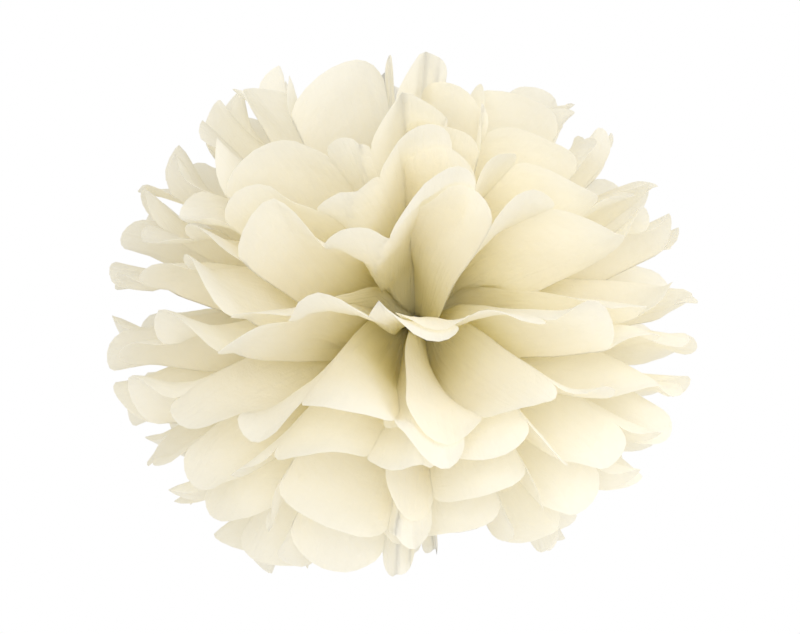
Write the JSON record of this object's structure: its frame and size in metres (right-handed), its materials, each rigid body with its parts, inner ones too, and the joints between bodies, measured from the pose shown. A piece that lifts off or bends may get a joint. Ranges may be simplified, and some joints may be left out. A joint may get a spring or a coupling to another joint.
{
  "type": "tissue paper pom pom",
  "caption": "Cream tissue paper pom pom: pleated sheets tied at the middle with wire, fanned out and pulled apart into a soft round ball of scalloped petals.",
  "frame": {"origin": "centre of the wire tie at the waist of the sheets, near the middle of the ball; the paper is 16 mm longer on the -X side of it", "axes": "+Z along the line on which the sheets are pulled apart, upwards as it hangs; the two fans open round Z towards +X and -X; the sheets' free edges meet at -Y and +Y, and -Y is the front"},
  "size_m": [0.3467, 0.3611, 0.2935],
  "materials": {
    "tissue_paper": "matte, translucent",
    "tie_wire": "bare drawn wire"
  },
  "bodies": {
    "root": {"tissue_sheet_01": "tissue_paper", "tissue_sheet_02": "tissue_paper", "tissue_sheet_03": "tissue_paper", "tissue_sheet_04": "tissue_paper", "tissue_sheet_05": "tissue_paper", "tissue_sheet_06": "tissue_paper", "tissue_sheet_07": "tissue_paper", "tissue_sheet_08": "tissue_paper", "tissue_sheet_09": "tissue_paper", "tissue_sheet_10": "tissue_paper", "tie_wire": "tie_wire"}
  },
  "joints": []
}
